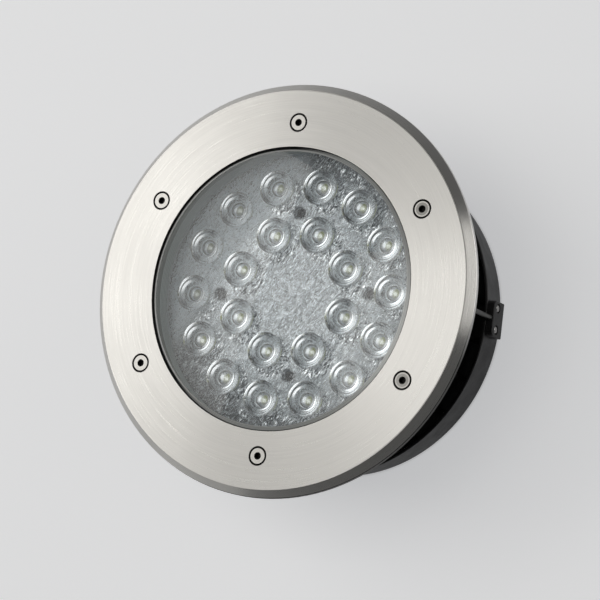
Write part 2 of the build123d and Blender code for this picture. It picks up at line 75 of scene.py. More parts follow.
# A lens from its root on the plate to its middle: radius, and depth below the rim, in mm
LENS_PROFILE = (
    (9.10, 3.80), (9.30, 3.05), (9.52, 2.15), (9.74, 1.25), (9.90, 0.55), (9.96, 0.22),
    (9.86, 0.05), (9.60, 0.00), (8.75, 0.00), (8.50, 0.06), (8.38, 0.25), (8.25, 0.80),
    (8.05, 1.02), (7.70, 1.10), (7.35, 1.10), (7.00, 1.10), (6.60, 1.10), (6.20, 1.10),
    (5.90, 1.16), (5.70, 1.40), (5.30, 2.30), (5.00, 2.90), (4.70, 3.12), (4.30, 3.12),
    (3.60, 2.80), (2.80, 2.42), (1.90, 2.12), (1.00, 1.96))
LENS_MIDDLE_DEPTH = 1.92
# The pocket under a lens: radius, and height above the plate's underside, in mm
POCKET_PROFILE = ((4.20, 0.00), (4.12, 0.80), (3.96, 1.60), (3.60, 2.20), (2.90, 2.70),
                  (1.90, 3.06), (0.90, 3.25))
POCKET_MIDDLE_HEIGHT = 3.35
# Silicone over each light source
DOME_R = 3.9 * MM
DOME_HEIGHT = 2.7 * MM
DOME_LEVELS = 7
DOME_STEPS = 32

# The glass, stepped up into the ring's aperture, with ground edges
STEP_R = 78.35 * MM
STEP_CHAMFER = 2.0 * MM     # its width
STEP_CHAMFER_DROP = 0.6 * MM
STEP_SUNK = 0.25 * MM       # top of the glass under the ring's face
GLASS_EDGE_BREAK = 0.6 * MM
GLASS_STEPS = 192
GROUND_BAND = (0.03 * MM, 0.06 * MM)    # where the thin ground bands start and end, off the glass
step_top = ring_face - STEP_SUNK

# ---------------------------------------------------------------- places of the finishes and of painted light and shade

# Azimuths in degrees
SOFTBOX_SIDE = 75           # towards left_softbox
STRIP_SIDE = -75            # towards right_strip
UPPER_SIDE = 0              # towards +X
RING_SHADOW_SIDE = 58            # the side in the ring's shadow, where painted light on plate, lenses and board is weaker
GLOW_SIDE = 66              # where the plate's edge has a painted highlight and the glass's chamfer painted shade
PAINTED_LIP_HIGHLIGHT_SIDE = -78       # where the ring's lip has a painted highlight
PAINTED_LIP_SHADE_SIDE = -150        # and where it has painted shade
CRINKLE_ALONG = -35         # the streaks of the crinkled plate run this way
CRINKLE_ACROSS = 55

# The trim ring
CREASE_R = 110.6 * MM       # where its face meets its bevel
CREASE_CORE = 0.2 * MM      # half the width of the painted dark line there
CREASE_EDGE = 0.45 * MM     # the same with its soft edges
BEVEL_R = CREASE_R + 0.25 * MM      # where the ground bevel starts
LIP_WIDTH = 0.3 * MM
PAINTED_SHADE_R = 104 * MM         # painted black shade lies within this radius
PAINTED_SHADE_DEPTH = 0.06 * MM    # and deeper than this under the face
BRUSH_ALONG = 2.6           # features of the brushing to the radian
BRUSH_ACROSS = 2600.0       # and to the metre

# The ground edge of the glass
GRINDING_LINES = 2600.0     # to the metre
DARK_CHAMFER_R = STEP_R - 0.95 * MM     # on one side the chamfer has painted shade from here out

# Rows of points about the axis: count, radius and angle of the first
RING_SCREWS = (6, 92.6 * MM, 0.0)
OPTIC_SCREWS = (4, 44.5 * MM, PATTERN_TURN)
RING_SCREW_BRIGHT_R = 4.25 * MM
RING_SCREW_SOCKET_R = 2.05 * MM
RING_SCREW_RIM = 0.7 * MM   # the light rim of a head whose inside has painted shade

# The optic
CRINKLE_SCALE = 680.0
CRINKLE_SQUEEZE = 0.45      # of the noise along its streaks
CRINKLE_DEPTH = 0.8 * MM
SURFACE_DEPTH = 0.2 * MM    # the crinkled surface reaches this far below the plate's top
LENS_FOOT = 0.3 * MM        # what lies further than this above it belongs to a lens
OPTIC_SCREW_SPOT = (3.2 * MM, 4.4 * MM)     # radii of the dark spot over a screw
PAINTED_CRINKLE_R = (9.5 * MM, 12.5 * MM)      # round a lens the painted light and shade of the crinkled plate lie within these
BOARD_LIGHT_R = (9.0 * MM, 15.0 * MM)       # and the painted light on the board within these
LENS_GLOW_SHIFT = (3.4 * MM, 3.4 * MM, 0)   # how far that lies from the lens, towards -X and -Y
CORE_SHIFT = Vector((0.8, 0.8, 0)) * MM     # how far a dome's yellow core lies from its middle
# Arcs of painted reflection and painted shade in the lens walls: azimuth and half width in degrees
MIRRORED_ARC = (54, 40)
CRESCENT_ARC = (-126, 62)
DARK_ARCS = ((138, 34), (-18, 30))
ARC_STEEPNESS = 1.6         # how fast an arc gains strength from its ends
# Where the arcs lie, as radii in mm about a lens
MIRRORED_WALL = (6.4, 9.7)
DARK_WALL = (6.3, 10.2)
DISC_R = 4.4
SAME_RADIUS = 0.02
# Painted bright rings in the crescent: radius in mm, and strength
CRESCENTS = {9.60: 0.35, 8.75: 0.35, 7.70: 0.25, 7.35: 0.8, 7.00: 0.15, 6.60: 0.9, 6.20: 1.0,
             5.90: 1.0, 4.30: 0.7}
# The painted light on a lens weakens from this distance towards the ring's shadow side on
DIM_START = 30 * MM
DIM_SPAN = 12 * MM
DIM_LOSS = 0.8

# ---------------------------------------------------------------- materials


class Look:
    """A material under construction, with its nodes and its main shader."""

    def __init__(self, name, colour, roughness, metallic=0.0):
        """Starts from a plain colour, roughness and share of metal."""
        self.material = bpy.data.materials.new(name)
        self.material.use_nodes = True
        self.tree = self.material.node_tree
        self.shader = self.tree.nodes["Principled BSDF"]
        self.output = self.tree.nodes["Material Output"]
        self.put("Base Color", (*colour, 1))
        self.put("Roughness", roughness)
        self.put("Metallic", metallic)

    def put(self, socket, value):
        """Sets a constant on the main shader, or links a node's output to it."""
        if isinstance(value, bpy.types.NodeSocket):
            self.tree.links.new(value, self.shader.inputs[socket])
        else:
            self.shader.inputs[socket].default_value = value

    def add(self, kind, inputs=None, **settings):
        """Adds a node, sets its options and fills its inputs by name or number."""
        node = self.tree.nodes.new(kind)
        for name, value in settings.items():
            setattr(node, name, value)
        for socket, value in (inputs or {}).items():
            if isinstance(value, bpy.types.NodeSocket):
                self.tree.links.new(value, node.inputs[socket])
            else:
                node.inputs[socket].default_value = value
        return node

    def math(self, operation, first, *others):
        """Arithmetic on one value, or on several from left to right."""
        for other in others or (0.0,):
            step = self.add("ShaderNodeMath", {0: first, 1: other}, operation=operation)
            first = step.outputs[0]
        return first

    def vector_math(self, operation, first, second=(0, 0, 0)):
        """One step of vector arithmetic."""
        return self.add("ShaderNodeVectorMath", {0: first, 1: second}, operation=operation)

    def place(self):
        """The point on the object, in metres."""
        return self.add("ShaderNodeTexCoord").outputs["Object"]

    def radius(self, where=None):
        """The distance from the object's axis."""
        flat = self.vector_math("MULTIPLY", where or self.place(), (1, 1, 0)).outputs[0]
        return self.vector_math("LENGTH", flat).outputs["Value"]

    def height(self):
        """The height above the foot."""
        return self.add("ShaderNodeSeparateXYZ", {0: self.place()}).outputs["Z"]

    def towards(self, azimuth):
        """How far a point lies from the axis in one direction."""
        angle = math.radians(azimuth)
        direction = (math.cos(angle), math.sin(angle), 0)
        return self.vector_math("DOT_PRODUCT", self.place(), direction).outputs["Value"]

    def sideways(self, azimuth, near, far, low=0, high=1):
        """Goes from low to high between two distances, in mm, in one direction from the axis."""
        return self.spread(self.towards(azimuth), low, high, near * MM, far * MM)

    def outward(self, near, far, low=0, high=1):
        """Goes from low to high between two distances from the axis, in mm."""
        return self.spread(self.radius(), low, high, near * MM, far * MM)

    def mask(self, name):
        """A mask that is stored in the mesh."""
        return self.add("ShaderNodeAttribute", attribute_name=name).outputs["Fac"]

    def noise(self, scale, detail=3.0, roughness=0.55, distortion=0.0, where=None):
        """Noise from 0 to 1, with about scale features to the metre."""
        inputs = {"Vector": where or self.place(), "Scale": scale, "Detail": detail,
                  "Roughness": roughness, "Distortion": distortion}
        return self.add("ShaderNodeTexNoise", inputs).outputs[0]

    def spread(self, value, low, high, start=0.0, end=1.0):
        """The value moved from start..end to low..high."""
        inputs = {"Value": value, "From Min": start, "From Max": end, "To Min": low, "To Max": high}
        return self.add("ShaderNodeMapRange", inputs).outputs["Result"]

    def blend(self, factor, first, second):
        """A colour between two."""
        node = self.add("ShaderNodeMix", data_type="RGBA")
        self.tree.links.new(factor, node.inputs[0])
        for socket, colour in ((6, first), (7, second)):
            if isinstance(colour, bpy.types.NodeSocket):
                self.tree.links.new(colour, node.inputs[socket])
            else:
                node.inputs[socket].default_value = (*colour, 1)
        return node.outputs[2]

    def bump(self, height, depth):
        """A relief of the given depth in metres."""
        return self.add("ShaderNodeBump", {"Height": height, "Distance": depth}).outputs["Normal"]

    def lets_light_in(self, tint):
        """Light that falls through the clear body goes straight on to what lies behind it."""
        path = self.add("ShaderNodeLightPath").outputs
        straight = self.math("MAXIMUM", path["Is Shadow Ray"], path["Is Diffuse Ray"])
        through = self.add("ShaderNodeBsdfTransparent", {"Color": (*tint, 1)})
        mix = self.add("ShaderNodeMixShader", {0: straight, 1: self.shader.outputs[0],
                                               2: through.outputs[0]})
        self.tree.links.new(mix.outputs[0], self.output.inputs["Surface"])


def scaled(colour, factor):
    """A colour made lighter or darker."""
    return tuple(factor * channel for channel in colour)


def brushing(look):
    """Fine brushing round the object's axis: its grain, and the direction across it."""
    flat = look.vector_math("MULTIPLY", look.place(), (1, 1, 0)).outputs[0]
    outward = look.vector_math("NORMALIZE", flat).outputs[0]
    along = look.vector_math("SCALE", outward)
    along.inputs["Scale"].default_value = BRUSH_ALONG
    parts = look.add("ShaderNodeSeparateXYZ", {0: along.outputs[0]}).outputs
    across = look.math("SUBTRACT", look.radius(), look.height())
    where = look.add("ShaderNodeCombineXYZ", {
        "X": parts["X"], "Y": parts["Y"], "Z": look.math("MULTIPLY", across, BRUSH_ACROSS)})
    return look.noise(1.0, 4.0, 0.7, where=where.outputs[0]), outward


def painted_recess_shade(look):
    """1 on the aperture's wall and in the countersinks, which are painted black as shade."""
    below_face = look.math("LESS_THAN", look.height(), ring_face - PAINTED_SHADE_DEPTH)
    inside = look.math("LESS_THAN", look.radius(), PAINTED_SHADE_R)
    return look.math("MULTIPLY", below_face, inside)


def painted_crease_shade(look):
    """Painted shade: a dark line where the face meets the bevel, on the side of right_strip."""
    radius = look.radius()
    start = look.spread(radius, 0, 1, CREASE_R - CREASE_EDGE, CREASE_R - CREASE_CORE)
    end = look.spread(radius, 1, 0, CREASE_R + CREASE_CORE, CREASE_R + CREASE_EDGE)
    return look.math("MULTIPLY", start, end, look.sideways(STRIP_SIDE, 20, 70))


def painted_bevel_highlight(look):
    """Painted highlight on the ground bevel, on the side of left_softbox."""
    bevel = look.math("GREATER_THAN", look.radius(), BEVEL_R)
    return look.math("MULTIPLY", bevel, look.sideways(SOFTBOX_SIDE, 0, 70))


def outer_lip(look, azimuth, near, far):
    """The ring's outermost edge on one side, from one distance in mm to another."""
    edge = look.math("GREATER_THAN", look.radius(), RING_R - LIP_WIDTH)
    return look.math("MULTIPLY", edge, look.sideways(azimuth, near, far))


def brushed(name, colour, roughness):
    """Stainless steel brushed in circles, with a ground rim, painted shade and painted highlights."""
    look = Look(name, colour, roughness, metallic=1.0)
    grain, outward = brushing(look)
    cloud = look.noise(16.0, 3.0, 0.5)
    tone = look.math("ADD", look.math("MULTIPLY", grain, 0.7), look.math("MULTIPLY", cloud, 0.3))
    steel = look.blend(look.spread(tone, 0, 1, 0.3, 0.7), scaled(colour, 0.86), colour)
    # Painted shade along the crease on the side of right_strip
    steel = look.blend(painted_crease_shade(look), steel, scaled(colour, 0.34))
    # Painted highlight on the bevel on the side of left_softbox
    steel = look.blend(painted_bevel_highlight(look), steel, scaled(colour, 1.3))
    # Painted highlight on the lip on one side, painted shade on another
    steel = look.blend(outer_lip(look, PAINTED_LIP_HIGHLIGHT_SIDE, 98, 110), steel, (1.0, 0.99, 0.97))
    steel = look.blend(outer_lip(look, PAINTED_LIP_SHADE_SIDE, 60, 85), steel, scaled(colour, 0.12))
    # Painted black shade on the aperture's wall and in the countersinks
    painted_shade = painted_recess_shade(look)
    look.put("Base Color", look.blend(painted_shade, steel, (0.006, 0.006, 0.006)))
    look.put("Metallic", look.spread(painted_shade, 1.0, 0.0))
    look.put("Roughness", look.spread(tone, roughness + 0.05, roughness - 0.05, 0.3, 0.7))
    look.put("Normal", look.bump(grain, 0.012 * MM))
    look.put("Tangent", outward)
    look.put("Anisotropic", 0.75)
    return look.material


def machined(name, colour, roughness):
    """Turned or cold formed steel with fine random scratches."""
    look = Look(name, colour, roughness, metallic=1.0)
    fine = look.noise(2600.0, 4.0, 0.6)
    broad = look.noise(260.0, 3.0, 0.6)
    look.put("Roughness", look.spread(broad, roughness - 0.07, roughness + 0.1, 0.3, 0.7))
    steel = look.blend(look.spread(fine, 0, 1, 0.3, 0.7), scaled(colour, 0.78), colour)
    look.put("Base Color", steel)
    look.put("Normal", look.bump(fine, 0.01 * MM))
    return look.material


def powder_coat(name, colour, roughness, pebble, painted_light_colour=None):
    """Black metal under a finely pebbled coat, with painted light towards +X in another colour if one is
    given.
    """
    look = Look(name, colour, roughness)
    look.put("Specular IOR Level", 0.3 if painted_light_colour else 0.12)
    grit = look.noise(1500.0, 3.0, 0.6)
    dust = look.noise(90.0, 4.0, 0.6)
    pale = tuple(channel * 1.5 + 0.002 for channel in colour)
    coat = look.blend(look.spread(dust, 0, 1, 0.35, 0.75), colour, pale)
    # Painted light towards +X
    if painted_light_colour:
        coat = look.blend(look.sideways(UPPER_SIDE, -22, 4), coat, painted_light_colour)
    look.put("Base Color", coat)
    look.put("Roughness", look.spread(dust, roughness - 0.06, roughness + 0.08, 0.3, 0.7))
    look.put("Normal", look.bump(grit, pebble))
    return look.material


def rubber(name):
    """Moulded black rubber with a dull, slightly dusty skin."""
    look = Look(name, (0.012, 0.012, 0.013), 0.62)
    bloom = look.noise(120.0, 4.0, 0.6)
    look.put("Base Color", look.blend(look.spread(bloom, 0, 1, 0.3, 0.8), (0.009, 0.009, 0.010),
                                      (0.022, 0.022, 0.023)))
    look.put("Normal", look.bump(look.noise(1800.0), 0.02 * MM))
    return look.material


def glass_seal(name):
    """Grey green silicone with fine ribs under the glass, black above it."""
    look = Look(name, (0.20, 0.24, 0.23), 0.45)
    ribs = look.math("SINE", look.math("MULTIPLY", look.radius(), 2 * math.pi / (0.9 * MM)))
    shade = look.blend(look.spread(ribs, 0, 1, -1, 1), (0.22, 0.27, 0.25), (0.46, 0.51, 0.48))
    over = look.math("GREATER_THAN", look.height(), glass_top - GLASS_EDGE_BREAK)
    look.put("Base Color", look.blend(over, shade, (0.008, 0.008, 0.008)))
    look.put("Normal", look.bump(ribs, 0.05 * MM))
    return look.material


def ground_glass():
    """The silvered edge of the glass, ground in lines round it, with painted shade at the joint on one
    side.
    """
    look = Look("ground_glass", (0.80, 0.82, 0.80), 0.30, metallic=0.4)
    lines = look.noise(1.0, 2.0, 0.5, where=look.add("ShaderNodeCombineXYZ", {
        "X": look.math("MULTIPLY", look.radius(), GRINDING_LINES)}).outputs[0])
    edge = look.blend(look.spread(lines, 0, 1, 0.4, 0.6), (0.50, 0.52, 0.51), (0.86, 0.87, 0.86))
    outer = look.math("GREATER_THAN", look.radius(), DARK_CHAMFER_R)
    # Painted shade on the chamfer's outer part towards GLOW_SIDE
    painted_shade = look.math("MULTIPLY", outer, look.sideways(GLOW_SIDE, 0, 30))
    look.put("Base Color", look.blend(painted_shade, edge, (0.004, 0.004, 0.004)))
    look.put("Normal", look.bump(lines, 0.04 * MM))
    return look.material


def plastic(name, colour, roughness):
    """Moulded plastic with a fine spark eroded grain."""
    look = Look(name, colour, roughness)
    grain = look.noise(1400.0, 3.0, 0.6)
    cloud = look.noise(60.0, 3.0, 0.5)
    body = look.blend(look.spread(cloud, 0, 1, 0.3, 0.7), scaled(colour, 0.85), colour)
    look.put("Base Color", body)
    look.put("Roughness", look.spread(cloud, roughness - 0.05, roughness + 0.05, 0.3, 0.7))
    look.put("Normal", look.bump(grain, 0.015 * MM))
    return look.material


def cover_glass():
    """Thick toughened glass with a faint green body."""
    look = Look("cover_glass", (0.955, 0.975, 0.985), 0.0)
    look.put("Transmission Weight", 1.0)
    look.put("IOR", 1.5)
    smear = look.noise(22.0, 3.0, 0.6)
    look.put("Roughness", look.spread(smear, 0.0, 0.02, 0.45, 0.8))
    look.lets_light_in((0.985, 0.99, 0.99))
    return look.material


def crinkle_place(look):
    """The point on the object, squeezed so that noise there runs in long streaks."""
    along = look.math("MULTIPLY", look.towards(CRINKLE_ALONG), CRINKLE_SQUEEZE)
    return look.add("ShaderNodeCombineXYZ", {"X": along, "Y": look.towards(CRINKLE_ACROSS)}).outputs[0]


def crinkled_light(look, crinkle):
    """Painted highlights and painted shade on the crinkled top of the plate, and a darker spot over each
    screw.
    """
    top = crinkled_top(look)
    outside_ring_shadow = look.sideways(RING_SHADOW_SIDE, 36, 46, 1, 0)
    screws = distance_from_row(look, look.place(), *OPTIC_SCREWS)
    spot = look.math("MULTIPLY", look.spread(screws, 1, 0, *OPTIC_SCREW_SPOT), top)
    painted_strength = look.math("MULTIPLY", painted_crinkle_light(look), top, outside_ring_shadow)
    level = look.math("SUBTRACT", crinkle, look.outward(50, 72, 0, 0.10))
    # Painted highlights on the crests and a painted sheen over the middle; painted shade in the troughs
    crest = look.spread(level, 0, 1, 0.50, 0.60)
    crest = look.math("MULTIPLY", crest, painted_strength, look.spread(spot, 1, 0.35))
    middle = look.math("MULTIPLY", outside_ring_shadow, look.outward(36, 56, 0.40, 0.06))
    painted_sheen = look.math("MULTIPLY", middle, look.spread(spot, 1, 0), top)
    glow = look.math("MULTIPLY", rim_glow(look), top)
    trough = look.math("MULTIPLY", look.spread(level, 1, 0, 0.38, 0.48), painted_strength)
    dark_screw_spot = look.math("MULTIPLY", spot, look.spread(crinkle, 1, 0.2, 0.50, 0.60))
    return look.math("MAXIMUM", crest, painted_sheen, glow), look.math("MAXIMUM", trough, dark_screw_spot)


def clear_optic():
    """Clear acrylic, crinkled where it lies flat, with painted reflections and painted shade as arcs in
    the lens walls.
    """
    look = Look("clear_optic", (0.985, 0.99, 0.99), 0.0)
    crinkle = look.noise(CRINKLE_SCALE, 1.5, 0.5, 1.6, where=crinkle_place(look))
    bright, shaded = crinkled_light(look, crinkle)
    disc = look.mask("disc")
    patches = look.spread(look.noise(650.0), 0.5, 1.0, 0.4, 0.6)
    # Painted shade in the lens walls and the plate's troughs
    walls = look.math("MULTIPLY", look.mask("dark"), patches)
    dark = look.math("MAXIMUM", walls, shaded)
    # Painted reflections, as metal, on lens walls, crests and lens bottoms
    mirrored = look.math("MAXIMUM", look.mask("mirrored"), bright, look.math("MULTIPLY", disc, 0.26))
    blur = look.math("MAXIMUM", look.spread(mirrored, 0.0, 0.22), look.math("MULTIPLY", disc, 0.24))
    relief = look.math("MULTIPLY", crinkle, look.mask("pebbled"))
    look.put("Base Color", look.blend(dark, (0.96, 0.98, 1.0), (0.05, 0.055, 0.06)))
    look.put("Metallic", mirrored)
    look.put("Roughness", blur)
    look.put("IOR", 1.49)
    look.put("Transmission Weight", 1.0)
    look.put("Normal", look.bump(relief, CRINKLE_DEPTH))
    look.lets_light_in((0.985, 0.99, 0.99))
    return look.material


def rim_glow(look):
    """A painted highlight: a soft bright arc just inside the plate's edge, towards GLOW_SIDE."""
    radius = look.radius()
    start = look.spread(radius, 0, 1, plate_r - 3.6 * MM, plate_r - 2.2 * MM)
    end = look.spread(radius, 1, 0, plate_r - 1.6 * MM, plate_r - 0.8 * MM)
    return look.math("MULTIPLY", start, end, look.sideways(GLOW_SIDE, 0, 40, 0, 0.26))


def crinkled_top(look):
    """1 on the crinkled top of the plate."""
    on_top = look.math("GREATER_THAN", look.height(), plate_top - SURFACE_DEPTH)
    return look.math("MULTIPLY", look.mask("pebbled"), on_top)


def painted_crinkle_light(look):
    """How strong the painted light and shade on the crinkled plate are: most beside lenses and near its
    edge.
    """
    near_lens = look.spread(lens_distance(look), 1.0, 0.30, *PAINTED_CRINKLE_R)
    return look.math("MAXIMUM", near_lens, look.outward(60, 70, 0, 0.9))


def silicone_dome():
    """Silicone over the light source, cream at its edge, yellow green inside, with painted shade on one
    side.
    """
    look = Look("silicone_dome", (0.86, 0.86, 0.78), 0.12)
    cloud = look.math("ADD", look.mask("core"), look.spread(look.noise(420.0), -0.2, 0.2))
    lit = look.blend(look.spread(cloud, 0, 1, 0.24, 0.60), (0.95, 0.95, 0.88), (0.60, 0.66, 0.16))
    # Painted shade on the side in the ring's shadow
    greyer = look.sideways(RING_SHADOW_SIDE, 28, 50, 0, 0.7)
    look.put("Base Color", look.blend(greyer, lit, (0.42, 0.45, 0.45)))
    look.put("Normal", look.bump(look.noise(500.0), 0.02 * MM))
    return look.material


def distance_from_row(look, where, count, row_radius, start):
    """The distance from the nearest of some points spaced evenly round a circle."""
    parts = look.add("ShaderNodeSeparateXYZ", {0: where}).outputs
    radius = look.radius(where)
    turned = look.math("SUBTRACT", look.math("ARCTAN2", parts["Y"], parts["X"]), start)
    reach = math.pi / count
    folded = look.add("ShaderNodeMath", {0: turned, 1: reach, 2: -reach}, operation="WRAP").outputs[0]
    ahead = look.math("MULTIPLY", radius, look.math("COSINE", folded))
    across = look.math("MULTIPLY", radius, look.math("SINE", folded))
    offset = {"X": look.math("SUBTRACT", ahead, row_radius), "Y": across}
    joined = look.add("ShaderNodeCombineXYZ", offset).outputs[0]
    return look.vector_math("LENGTH", joined).outputs["Value"]


def lens_distance(look):
    """The distance from the nearest lens centre, with all of them drawn away from left_softbox."""
    where = look.vector_math("ADD", look.place(), LENS_GLOW_SHIFT).outputs[0]
    distances = [distance_from_row(look, where, count, radius, PATTERN_TURN + math.pi / count)
                 for count, radius in LENS_ROWS]
    return look.math("MINIMUM", *distances)


def ring_screw_heads():
    """Screw heads with painted shade: a dark edge, a dark socket, and greyer inside on the side of
    right_strip.
    """
    look = Look("ring_screw_heads", (0.60, 0.59, 0.565), 0.30, metallic=1.0)
    fine = look.noise(2600.0, 4.0, 0.6)
    distance = distance_from_row(look, look.place(), *RING_SCREWS)
    # Painted shade round each head and in its socket
    edge = look.math("GREATER_THAN", distance, RING_SCREW_BRIGHT_R)
    socket = look.math("LESS_THAN", distance, RING_SCREW_SOCKET_R)
    steel = look.blend(look.spread(fine, 0, 1, 0.3, 0.7), (0.50, 0.49, 0.47), (0.66, 0.65, 0.62))
    # Painted shade inside the heads on the side of right_strip
    inside = look.math("LESS_THAN", distance, RING_SCREW_BRIGHT_R - RING_SCREW_RIM)
    greyer = look.math("MULTIPLY", look.sideways(STRIP_SIDE, 30, 75), inside)
    steel = look.blend(greyer, steel, (0.30, 0.295, 0.28))
    look.put("Base Color", look.blend(look.math("MAXIMUM", edge, socket), steel, (0.01, 0.01, 0.01)))
    look.put("Normal", look.bump(fine, 0.01 * MM))
    return look.material


def solder_mask():
    """White solder mask with painted caustics of the pebbled optic and painted shade towards its edge."""
    look = Look("white_board", (0.80, 0.83, 0.86), 0.4)
    # Painted caustics: streaks of light and shade round each lens
    streaked = crinkle_place(look)
    fine = look.noise(1100.0, 3.0, 0.6, 1.0, where=streaked)
    ripple = look.noise(620.0, 2.0, 0.5, 1.4, where=streaked)
    streaks = look.math("ADD", look.math("MULTIPLY", fine, 0.6), look.math("MULTIPLY", ripple, 0.4))
    pattern = look.spread(streaks, 0, 1, 0.38, 0.62)
    near_lens = look.spread(lens_distance(look), 0.9, 0.30, *BOARD_LIGHT_R)
    in_ring_shadow = look.sideways(RING_SHADOW_SIDE, 37, 47)
    contrast = look.math("MULTIPLY", near_lens, look.spread(in_ring_shadow, 1.0, 0.08))
    swing = look.math("MULTIPLY", look.math("SUBTRACT", pattern, 0.5), contrast)
    # Painted shade towards the edge, left off on the side in the ring's shadow
    edge = look.math("MULTIPLY", look.outward(40, 70, 0, 0.36), look.spread(in_ring_shadow, 1, 0))
    tone = look.math("ADD", look.math("SUBTRACT", 0.94, edge), swing)
    look.put("Base Color", look.blend(tone, (0.05, 0.06, 0.075), (0.89, 0.955, 1.0)))
    return look.material


def liner():
    """Grey liner with fine turned rings on its wall, with painted light towards +X."""
    look = Look("grey_baffle", (0.30, 0.34, 0.335), 0.35)
    rings = look.math("SINE", look.math("MULTIPLY", look.height(), 2 * math.pi / (1.9 * MM)))
    fine = look.noise(900.0, 3.0, 0.6)
    wall = look.blend(look.spread(rings, 0, 1, -1, 1), (0.32, 0.37, 0.36), (0.54, 0.60, 0.585))
    # Painted light towards +X
    lighter = look.sideways(UPPER_SIDE, 20, 70, 0, 0.8)
    look.put("Base Color", look.blend(lighter, wall, (0.88, 0.92, 0.92)))
    look.put("Normal", look.bump(look.math("ADD", rings, fine), 0.1 * MM))
    return look.material


def phosphor():
    """Yellow green phosphor over the chip."""
    look = Look("yellow_phosphor", (0.80, 0.78, 0.22), 0.5)
    grain = look.noise(6000.0, 3.0, 0.6)
    look.put("Base Color", look.blend(look.spread(grain, 0, 1, 0.3, 0.7), (0.66, 0.66, 0.16),
                                      (0.86, 0.84, 0.30)))
    look.put("Normal", look.bump(grain, 0.02 * MM))
    return look.material


def ceramic():
    """Matt white ceramic package."""
    look = Look("white_ceramic", (0.82, 0.82, 0.80), 0.45)
    grain = look.noise(4000.0, 3.0, 0.6)
    look.put("Base Color", look.blend(look.spread(grain, 0, 1, 0.3, 0.7), (0.74, 0.74, 0.72),
                                      (0.84, 0.84, 0.82)))
    look.put("Normal", look.bump(grain, 0.01 * MM))
    return look.material


LOOKS = {
    "ring_steel": brushed("ring_steel", (0.74, 0.73, 0.705), 0.30),
    "screw_steel": machined("screw_steel", (0.66, 0.65, 0.62), 0.30),
    "cover_glass": cover_glass(),
    "black_rubber": rubber("black_rubber"),
    "black_casting": powder_coat("black_casting", (0.008, 0.008, 0.0085), 0.5, 0.05 * MM),
    "grey_baffle": liner(),
    "clear_optic": clear_optic(),
    "white_board": solder_mask(),
    "grey_pad": plastic("grey_pad", (0.30, 0.31, 0.33), 0.7),
    "white_ceramic": ceramic(),
    "yellow_phosphor": phosphor(),
    "grey_plastic": plastic("grey_plastic", (0.20, 0.205, 0.21), 0.5),
    "white_plastic": plastic("white_plastic", (0.75, 0.75, 0.72), 0.4),
    "gland_brass": machined("gland_brass", (0.62, 0.57, 0.47), 0.34),
    "black_plastic": plastic("black_plastic", (0.014, 0.014, 0.015), 0.42),
    # The sleeve has painted light towards +X
    "black_sleeve": powder_coat("black_sleeve", (0.006, 0.006, 0.0065), 0.36, 0.03 * MM,
                                (0.052, 0.052, 0.054)),
    "tie_steel": machined("tie_steel", (0.17, 0.17, 0.165), 0.38),
}

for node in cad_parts.values():
    for material_slot in node.material_slots:
        material_slot.material = LOOKS[material_slot.material.name.split(".")[0]]
own_looks = {"glass_gasket": glass_seal("glass_seal"),
             "optic_screws": plastic("dark_screws", (0.012, 0.012, 0.012), 0.6),
             "lug_screws": machined("bright_screws", (0.50, 0.49, 0.48), 0.24),
             "trim_ring_screws": ring_screw_heads()}
for node_name, own_look in own_looks.items():
    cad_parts[node_name].material_slots[0].material = own_look

# ---------------------------------------------------------------- pieces

SAME_POINT = 1e-7           # points closer than this are one to the triangulation
WELD = 1e-6                 # and closer than this they are welded


def new_piece(name, mesh, material, slot, *replaced):
    """Adds a mesh as a piece of the luminaire."""
    piece = bpy.data.objects.new(name, mesh)
    bpy.context.scene.collection.objects.link(piece)
    mesh.materials.append(material)
    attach(piece, "luminaire")
    if replaced:
        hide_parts(*replaced)
    return piece


def circle(centre, radius, height, steps):
    """Points of a circle about a centre."""
    return [Vector((centre[0] + radius * math.cos(2 * math.pi * step / steps),
                    centre[1] + radius * math.sin(2 * math.pi * step / steps), height))
            for step in range(steps)]


def row(count, radius, start):
    """Centres on a circle, evenly spaced from a start angle."""
    angles = [start + 2 * math.pi * index / count for index in range(count)]
    return [(radius * math.cos(angle), radius * math.sin(angle)) for angle in angles]


def lens_centres():
    """Where each lens and light source stands."""
    centres = []
    for count, radius in LENS_ROWS:
        centres += row(count, radius, PATTERN_TURN + math.pi / count)
    return centres


def middle_of(points):
    """The middle of some points."""
    return sum(points, Vector()) / len(points)


def pierced_face(mesh, outline, holes, height, upward):
    """A flat face with round holes, as triangles between its outline and the holes."""
    points = [point.to_2d() for loop in [outline, *holes] for point in loop]
    edges = []
    first = 0
    for loop in [outline, *holes]:
        count = len(loop)
        edges += [(first + step, first + (step + 1) % count) for step in range(count)]
        first += count
    found, _, faces, _, _, _ = delaunay_2d_cdt(points, edges, [], 0, SAME_POINT)
    verts = [mesh.verts.new((point.x, point.y, height)) for point in found]
    middles = [middle_of(loop) for loop in holes]
    centres = [(middle, (loop[0] - middle).length) for middle, loop in zip(middles, holes)]
    for face in faces:
        middle = sum((found[index] for index in face), Vector((0, 0))) / len(face)
        if any((middle - centre.to_2d()).length < radius for centre, radius in centres):
            continue
        order = face if upward else list(reversed(face))
        mesh.faces.new([verts[index] for index in order])


def skin(mesh, loops, outward=True):
    """Joins loops of points, one after another, with a band of quads between each pair."""
    rings = [[mesh.verts.new(point) for point in loop] for loop in loops]
    for lower, upper in zip(rings, rings[1:]):
        count = len(lower)
        for step in range(count):
            corner = (step + 1) % count
            quad = [lower[step], lower[corner], upper[corner], upper[step]]
            mesh.faces.new(quad if outward else list(reversed(quad)))
    return rings


